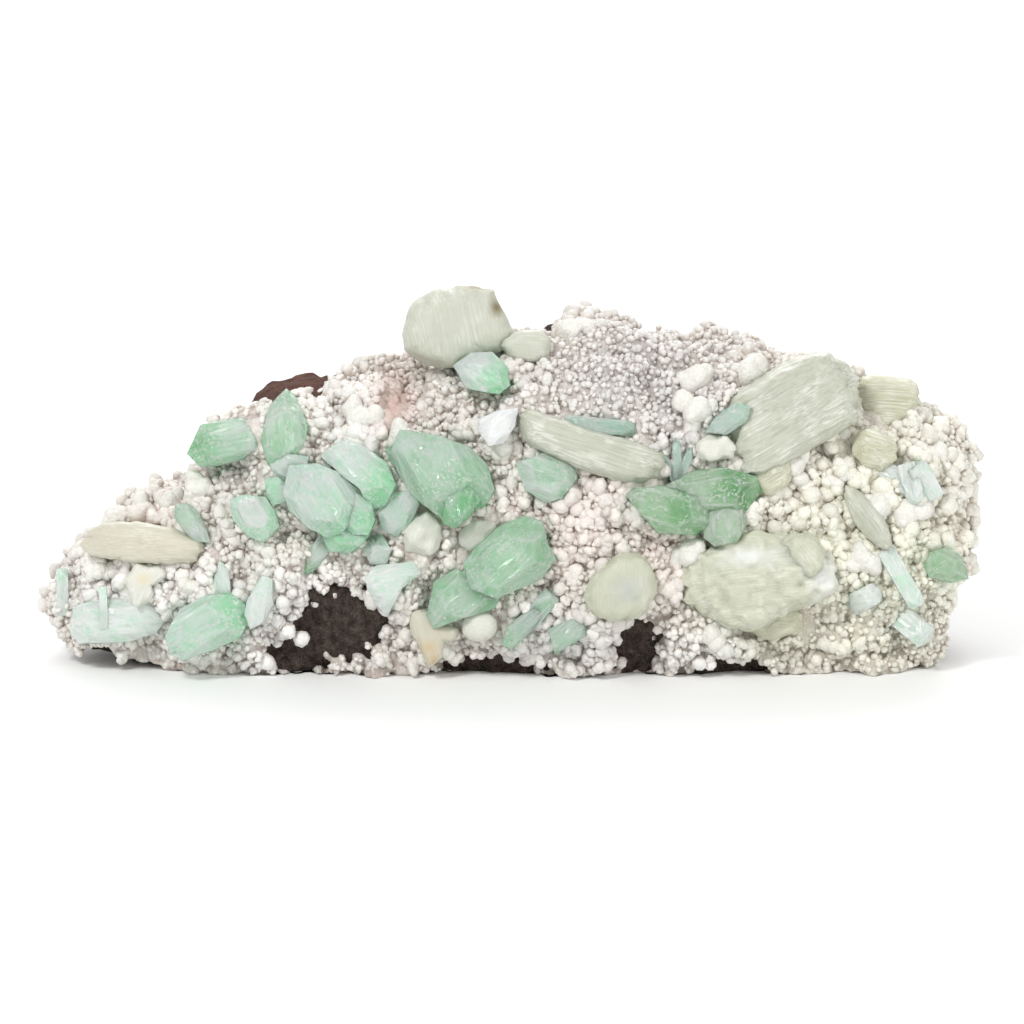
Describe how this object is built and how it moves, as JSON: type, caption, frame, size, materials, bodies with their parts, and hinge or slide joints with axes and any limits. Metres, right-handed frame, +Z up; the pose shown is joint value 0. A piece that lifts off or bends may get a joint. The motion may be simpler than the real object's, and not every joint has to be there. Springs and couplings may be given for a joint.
{
  "type": "apophyllite cluster",
  "caption": "Mineral specimen: pale green apophyllite crystals and cream stilbite sheaves on a white botryoidal crust over a dark basalt block with a flat foot.",
  "frame": {"origin": "middle of the whole specimen's footprint on the ground, at the flat foot of the basalt", "axes": "+Z up; +X along the specimen, from the low tapered end to the high blunt end; -Y is the display face with the crystals, +Y the bare rock back"},
  "size_m": [0.2069, 0.0749, 0.0819],
  "materials": {
    "basalt": "matte",
    "crust": "matte",
    "stilbite": "satin",
    "apophyllite": "gloss"
  },
  "bodies": {
    "root": {"apophyllite_barrel_left": "apophyllite", "apophyllite_bead_centre": "apophyllite", "apophyllite_big_middle": "apophyllite", "apophyllite_block_right": "apophyllite", "apophyllite_chisel_left": "apophyllite", "apophyllite_edge_right": "apophyllite", "apophyllite_flat_left": "apophyllite", "apophyllite_frosted_low": "apophyllite", "apophyllite_group_centre": "apophyllite", "apophyllite_leaf_centre": "apophyllite", "apophyllite_leaf_left": "apophyllite", "apophyllite_long_low": "apophyllite", "apophyllite_low_right": "apophyllite", "apophyllite_octagon_left": "apophyllite", "apophyllite_pair_low": "apophyllite", "apophyllite_pair_right": "apophyllite", "apophyllite_pale_left": "apophyllite", "apophyllite_pale_right": "apophyllite", "apophyllite_pale_under_blade": "apophyllite", "apophyllite_prism_ridge": "apophyllite", "apophyllite_slender_left": "apophyllite", "apophyllite_slender_right": "apophyllite", "apophyllite_small_low": "apophyllite", "apophyllite_splinter_edge": "apophyllite", "apophyllite_tall_left": "apophyllite", "apophyllite_teal_fragment": "apophyllite", "apophyllite_teal_needles": "apophyllite", "apophyllite_thin_above_blade": "apophyllite", "apophyllite_under_fan": "apophyllite", "basalt_matrix": "basalt", "stilbite_blade_left": "stilbite", "stilbite_blade_middle": "stilbite", "stilbite_block_right": "stilbite", "stilbite_bow_low": "stilbite", "stilbite_disc": "stilbite", "stilbite_drusy_middle": "stilbite", "stilbite_drusy_right": "stilbite", "stilbite_egg_low": "stilbite", "stilbite_egg_right": "stilbite", "stilbite_fan_top": "stilbite", "stilbite_hook_left": "stilbite", "stilbite_lump_centre": "stilbite", "stilbite_lump_low": "stilbite", "stilbite_sheaf_right": "stilbite", "stilbite_small_low": "stilbite", "stilbite_splinter_right": "stilbite", "stilbite_yellow_low": "stilbite", "zeolite_crust": "crust"}
  },
  "joints": []
}
